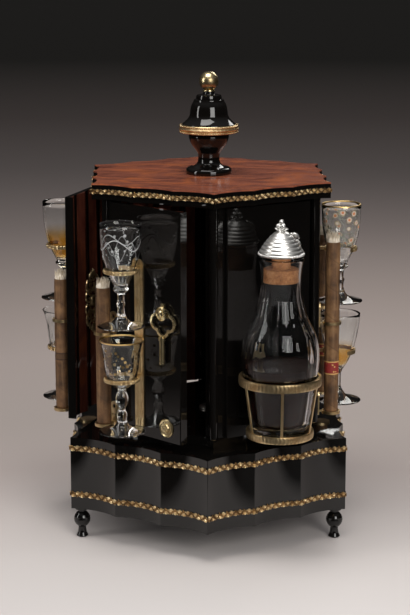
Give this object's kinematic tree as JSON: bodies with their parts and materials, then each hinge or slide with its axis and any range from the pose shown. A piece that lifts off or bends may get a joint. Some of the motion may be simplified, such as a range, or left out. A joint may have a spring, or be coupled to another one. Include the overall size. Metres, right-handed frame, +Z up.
{
  "type": "liqueur and cigar tower",
  "caption": "Six-sided ebonised liqueur and cigar tower: a revolving cabinet on a footed base, its doors folded back and carrying fluted decanters, stemmed glasses and cigars.",
  "frame": {"origin": "on the turning axis, at the level that the feet stand on", "axes": "+Z up along the turning axis; -Y towards the front corner of the base; +X to its right"},
  "size_m": [0.3321, 0.3468, 0.465],
  "materials": {
    "ebonised": "black lacquer on wood, polished",
    "burr_veneer": "red-brown burr, varnished",
    "gilt": "antique gilding",
    "brass": "aged brass",
    "silver": "polished silver plate",
    "decanter_glass": "clear fluted glass",
    "clear_glass": "clear glass",
    "liquor": "dark liquor",
    "cork": "matt cork",
    "cigar": "dry tobacco leaf"
  },
  "bodies": {
    "base": {"base_box": "ebonised", "base_garlands": "gilt", "base_feet": "ebonised", "turning_pin": "brass"},
    "carousel": {"floor_plate": "ebonised", "corner_posts": "ebonised", "lid": "ebonised", "lid_veneer": "burr_veneer", "lid_garland": "gilt", "hinge_pins": "brass"},
    "finial": {"finial": "ebonised", "finial_ring": "gilt", "finial_ball": "brass", "finial_spindle": "brass"},
    "door_front_right": {"door_front_right": "ebonised", "door_mount_front_right": "gilt", "holder_front_right": "gilt"},
    "door_right": {"door_right": "ebonised", "door_mount_right": "gilt", "rack_right": "gilt"},
    "door_back_right": {"door_back_right": "ebonised", "door_mount_back_right": "gilt", "rack_back_right": "gilt"},
    "door_back_left": {"door_back_left": "ebonised", "door_mount_back_left": "gilt", "holder_back_left": "gilt"},
    "door_left": {"door_left": "ebonised", "door_mount_left": "gilt", "rack_left": "gilt"},
    "door_front_left": {"door_front_left": "ebonised", "door_mount_front_left": "gilt", "rack_front_left": "gilt", "key_boss": "brass", "rosette": "brass"},
    "decanter_front_right": {"decanter_front_right": "decanter_glass", "liquor_front_right": "liquor"},
    "stopper_front_right": {"cork_front_right": "cork", "cap_front_right": "silver"},
    "decanter_back_left": {"decanter_back_left": "decanter_glass", "liquor_back_left": "liquor"},
    "stopper_back_left": {"cork_back_left": "cork", "cap_back_left": "silver"},
    "upper_glass_right": {"upper_glass_right": "clear_glass"},
    "lower_glass_right": {"lower_glass_right": "clear_glass"},
    "near_cigar_right": {"near_cigar_right": "cigar"},
    "upper_glass_back_right": {"upper_glass_back_right": "clear_glass"},
    "lower_glass_back_right": {"lower_glass_back_right": "clear_glass"},
    "near_cigar_back_right": {"near_cigar_back_right": "cigar"},
    "upper_glass_left": {"upper_glass_left": "clear_glass"},
    "lower_glass_left": {"lower_glass_left": "clear_glass"},
    "near_cigar_left": {"near_cigar_left": "cigar"},
    "upper_glass_front_left": {"upper_glass_front_left": "clear_glass"},
    "lower_glass_front_left": {"lower_glass_front_left": "clear_glass"},
    "near_cigar_front_left": {"near_cigar_front_left": "cigar"},
    "far_cigar_right": {"far_cigar_right": "cigar"},
    "far_cigar_back_right": {"far_cigar_back_right": "cigar"},
    "far_cigar_left": {"far_cigar_left": "cigar"},
    "key": {"key": "brass"}
  },
  "joints": [
    {"name": "carousel_turn", "type": "hinge", "parent": "base", "child": "carousel", "pos_m": [0, 0, 0.1053], "axis": [0, 0, 1], "continuous": true},
    {"name": "door_front_right_swing", "type": "hinge", "parent": "carousel", "child": "door_front_right", "pos_m": [0.00542, -0.11938, 0.1161], "axis": [0, 0, 1], "range_deg": [-239, 0]},
    {"name": "door_right_swing", "type": "hinge", "parent": "carousel", "child": "door_right", "pos_m": [0.10609, -0.05499, 0.1161], "axis": [0, 0, 1], "range_deg": [-239.51, 0]},
    {"name": "door_back_right_swing", "type": "hinge", "parent": "carousel", "child": "door_back_right", "pos_m": [0.10067, 0.06438, 0.1161], "axis": [0, 0, 1], "range_deg": [-232.01, 0]},
    {"name": "door_back_left_swing", "type": "hinge", "parent": "carousel", "child": "door_back_left", "pos_m": [-0.00542, 0.11938, 0.1161], "axis": [0, 0, 1], "range_deg": [-239.01, 0]},
    {"name": "door_left_swing", "type": "hinge", "parent": "carousel", "child": "door_left", "pos_m": [-0.10609, 0.05499, 0.1161], "axis": [0, 0, 1], "range_deg": [-220.51, 0]},
    {"name": "door_front_left_swing", "type": "hinge", "parent": "carousel", "child": "door_front_left", "pos_m": [-0.10067, -0.06438, 0.1161], "axis": [0, 0, 1], "range_deg": [-224.01, 0]},
    {"name": "finial_turn", "type": "hinge", "parent": "carousel", "child": "finial", "pos_m": [0, 0, 0.3617], "axis": [0, 0, 1], "range_deg": [0, 60]},
    {"name": "decanter_front_right_lift", "type": "slide", "parent": "door_front_right", "child": "decanter_front_right", "axis": [0, 0, 1], "range_m": [0, 0.062]},
    {"name": "stopper_front_right_lift", "type": "slide", "parent": "decanter_front_right", "child": "stopper_front_right", "axis": [0, 0, 1], "range_m": [0, 0.032]},
    {"name": "decanter_back_left_lift", "type": "slide", "parent": "door_back_left", "child": "decanter_back_left", "axis": [0, 0, 1], "range_m": [0, 0.062]},
    {"name": "stopper_back_left_lift", "type": "slide", "parent": "decanter_back_left", "child": "stopper_back_left", "axis": [0, 0, 1], "range_m": [0, 0.032]},
    {"name": "upper_glass_right_lift", "type": "slide", "parent": "door_right", "child": "upper_glass_right", "axis": [0, 0, 1], "range_m": [0, 0.015]},
    {"name": "lower_glass_right_lift", "type": "slide", "parent": "door_right", "child": "lower_glass_right", "axis": [0, 0, 1], "range_m": [0, 0.012]},
    {"name": "near_cigar_right_lift", "type": "slide", "parent": "door_right", "child": "near_cigar_right", "axis": [0, 0, 1], "range_m": [0, 0.02]},
    {"name": "upper_glass_back_right_lift", "type": "slide", "parent": "door_back_right", "child": "upper_glass_back_right", "axis": [0, 0, 1], "range_m": [0, 0.045]},
    {"name": "lower_glass_back_right_lift", "type": "slide", "parent": "door_back_right", "child": "lower_glass_back_right", "axis": [0, 0, 1], "range_m": [0, 0.012]},
    {"name": "near_cigar_back_right_lift", "type": "slide", "parent": "door_back_right", "child": "near_cigar_back_right", "axis": [0, 0, 1], "range_m": [0, 0.02]},
    {"name": "upper_glass_left_lift", "type": "slide", "parent": "door_left", "child": "upper_glass_left", "axis": [0, 0, 1], "range_m": [0, 0.045]},
    {"name": "lower_glass_left_lift", "type": "slide", "parent": "door_left", "child": "lower_glass_left", "axis": [0, 0, 1], "range_m": [0, 0.012]},
    {"name": "near_cigar_left_lift", "type": "slide", "parent": "door_left", "child": "near_cigar_left", "axis": [0, 0, 1], "range_m": [0, 0.02]},
    {"name": "upper_glass_front_left_lift", "type": "slide", "parent": "door_front_left", "child": "upper_glass_front_left", "axis": [0, 0, 1], "range_m": [0, 0.045]},
    {"name": "lower_glass_front_left_lift", "type": "slide", "parent": "door_front_left", "child": "lower_glass_front_left", "axis": [0, 0, 1], "range_m": [0, 0.012]},
    {"name": "near_cigar_front_left_lift", "type": "slide", "parent": "door_front_left", "child": "near_cigar_front_left", "axis": [0, 0, 1], "range_m": [0, 0.02]},
    {"name": "far_cigar_right_lift", "type": "slide", "parent": "door_right", "child": "far_cigar_right", "axis": [0, 0, 1], "range_m": [0, 0.02]},
    {"name": "far_cigar_back_right_lift", "type": "slide", "parent": "door_back_right", "child": "far_cigar_back_right", "axis": [0, 0, 1], "range_m": [0, 0.02]},
    {"name": "far_cigar_left_lift", "type": "slide", "parent": "door_left", "child": "far_cigar_left", "axis": [0, 0, 1], "range_m": [0, 0.02]},
    {"name": "key_swing", "type": "hinge", "parent": "door_front_left", "child": "key", "pos_m": [-0.04259, -0.13032, 0.2446], "axis": [-0.6871, -0.7266, 0], "range_deg": [-30, 30]}
  ],
  "couplings": [
    {"joint": "door_right_swing", "follows": "door_front_right_swing", "ratio": 1.0021},
    {"joint": "door_back_right_swing", "follows": "door_front_right_swing", "ratio": 0.97071},
    {"joint": "door_back_left_swing", "follows": "door_front_right_swing", "ratio": 1},
    {"joint": "door_left_swing", "follows": "door_front_right_swing", "ratio": 0.92259},
    {"joint": "door_front_left_swing", "follows": "door_front_right_swing", "ratio": 0.93724},
    {"joint": "finial_turn", "follows": "door_front_right_swing", "ratio": -0.25}
  ]
}
